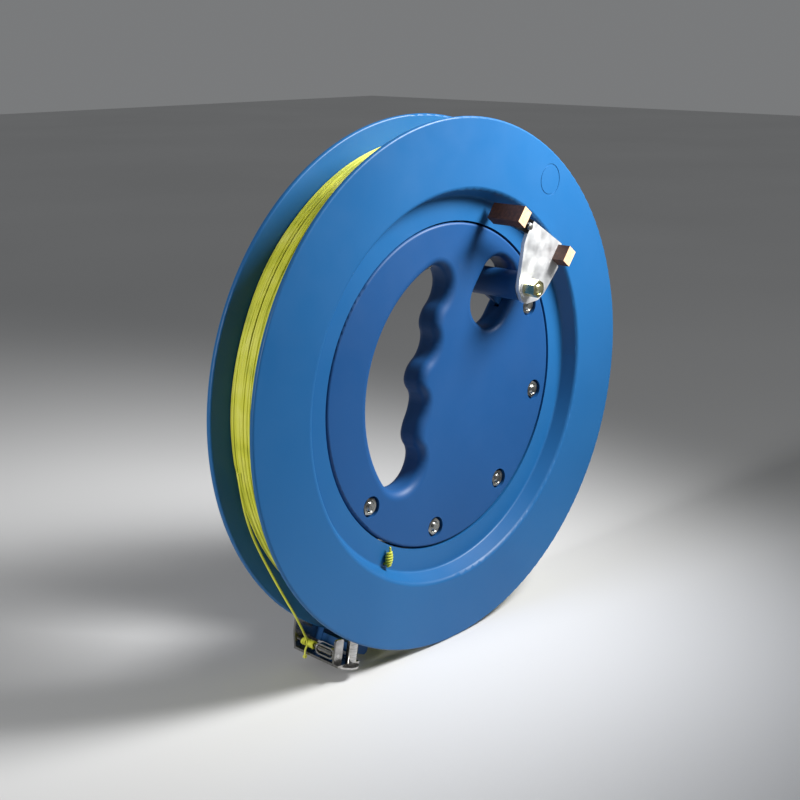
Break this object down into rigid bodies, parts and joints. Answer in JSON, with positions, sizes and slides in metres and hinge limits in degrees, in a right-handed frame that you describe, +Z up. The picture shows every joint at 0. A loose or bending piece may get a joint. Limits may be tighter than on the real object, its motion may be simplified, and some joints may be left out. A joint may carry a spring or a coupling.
{
  "type": "kite line hand reel",
  "caption": "Hand-held wheel reel for kite line: a wound spool on ball bearings around a finger-grip hub, with a thumb brake and a line guide.",
  "frame": {"origin": "centre of the wheel, on the mid-plane where the two spool halves and the two hub shells meet", "axes": "+Y along the wheel's axis from the front (nut side, knot side) to the back (line-guide arm side), +Z up, +X to the right seen from the front"},
  "size_m": [0.26, 0.0625, 0.26],
  "materials": {
    "spool_plastic": "smooth injection-moulded blue plastic, satin",
    "grip_plastic": "darker blue moulded plastic, fine grain",
    "line": "yellow-green braided line",
    "plated_steel": "zinc-plated steel",
    "bright_steel": "polished stainless steel",
    "yellow_zinc": "yellow-passivated zinc plating",
    "dark_steel": "blackened steel",
    "bronze": "plain sintered bronze",
    "brake_rubber": "brown rubber, lighter where cut"
  },
  "bodies": {
    "hub": {"hub_front_shell": "grip_plastic", "hub_rear_shell": "grip_plastic", "arm_bolts": "plated_steel", "hub_bolts": "plated_steel", "hub_nuts": "plated_steel", "axle_pins": "plated_steel", "bearing_inner_rings": "bright_steel", "bearing_bushings": "plated_steel", "brake_pivot_bush": "bronze", "guide_arm": "grip_plastic", "guide_bracket": "bright_steel", "guide_bar": "bright_steel", "roller_eye": "bright_steel", "guide_post": "bright_steel", "bracket_screws": "bright_steel", "line_tail": "line", "line_wraps": "line", "line_end": "line"},
    "spool": {"spool_front_half": "spool_plastic", "spool_rear_half": "spool_plastic", "spool_screws": "plated_steel", "line_pack": "line", "line_anchor_knot": "line"},
    "brake": {"brake_plate_front": "plated_steel", "brake_plate_rear": "plated_steel", "pad_holder_front": "dark_steel", "pad_holder_rear": "dark_steel", "thumb_bar_front": "grip_plastic", "thumb_bar_rear": "grip_plastic", "brake_lever": "grip_plastic", "brake_block_front_upper": "brake_rubber", "brake_block_front_lower": "brake_rubber", "brake_block_rear_upper": "brake_rubber", "brake_block_rear_lower": "brake_rubber", "brake_bolt": "yellow_zinc", "brake_nut": "yellow_zinc", "brake_washers": "plated_steel", "pad_screws": "plated_steel", "brake_return_spring": "plated_steel"},
    "roller": {"guide_roller": "bright_steel"},
    "bearing_1": {"bearing_outer_1": "bright_steel"},
    "bearing_2": {"bearing_outer_2": "bright_steel"},
    "bearing_3": {"bearing_outer_3": "bright_steel"},
    "bearing_4": {"bearing_outer_4": "bright_steel"},
    "bearing_5": {"bearing_outer_5": "bright_steel"},
    "bearing_6": {"bearing_outer_6": "bright_steel"}
  },
  "joints": [
    {"name": "spool_spin", "type": "hinge", "parent": "hub", "child": "spool", "pos_m": [0, 0, 0], "axis": [0, 1, 0], "continuous": true},
    {"name": "brake_pivot", "type": "hinge", "parent": "hub", "child": "brake", "pos_m": [0.06381, 0, 0.03112], "axis": [0, 1, 0], "range_deg": [0, 1.9], "stiffness_Nm_per_rad": 2, "springref_deg": -6.88},
    {"name": "guide_roller_spin", "type": "hinge", "parent": "hub", "child": "roller", "pos_m": [-0.07413, 0.002, -0.11739], "axis": [0, 1, 0], "continuous": true},
    {"name": "bearing_1_spin", "type": "hinge", "parent": "hub", "child": "bearing_1", "pos_m": [-0.05251, 0, -0.04778], "axis": [0, 1, 0], "continuous": true},
    {"name": "bearing_2_spin", "type": "hinge", "parent": "hub", "child": "bearing_2", "pos_m": [-0.0073, 0, -0.07062], "axis": [0, 1, 0], "continuous": true},
    {"name": "bearing_3_spin", "type": "hinge", "parent": "hub", "child": "bearing_3", "pos_m": [0.04173, 0, -0.05744], "axis": [0, 1, 0], "continuous": true},
    {"name": "bearing_4_spin", "type": "hinge", "parent": "hub", "child": "bearing_4", "pos_m": [0.06945, 0, -0.01476], "axis": [0, 1, 0], "continuous": true},
    {"name": "bearing_5_spin", "type": "hinge", "parent": "hub", "child": "bearing_5", "pos_m": [-0.01233, 0, 0.06992], "axis": [0, 1, 0], "continuous": true},
    {"name": "bearing_6_spin", "type": "hinge", "parent": "hub", "child": "bearing_6", "pos_m": [-0.06672, 0, 0.02428], "axis": [0, 1, 0], "continuous": true}
  ],
  "couplings": [
    {"joint": "bearing_1_spin", "follows": "spool_spin", "ratio": 7.4773},
    {"joint": "bearing_2_spin", "follows": "spool_spin", "ratio": 7.4773},
    {"joint": "bearing_3_spin", "follows": "spool_spin", "ratio": 7.4773},
    {"joint": "bearing_4_spin", "follows": "spool_spin", "ratio": 7.4773},
    {"joint": "bearing_5_spin", "follows": "spool_spin", "ratio": 7.4773},
    {"joint": "bearing_6_spin", "follows": "spool_spin", "ratio": 7.4773}
  ]
}
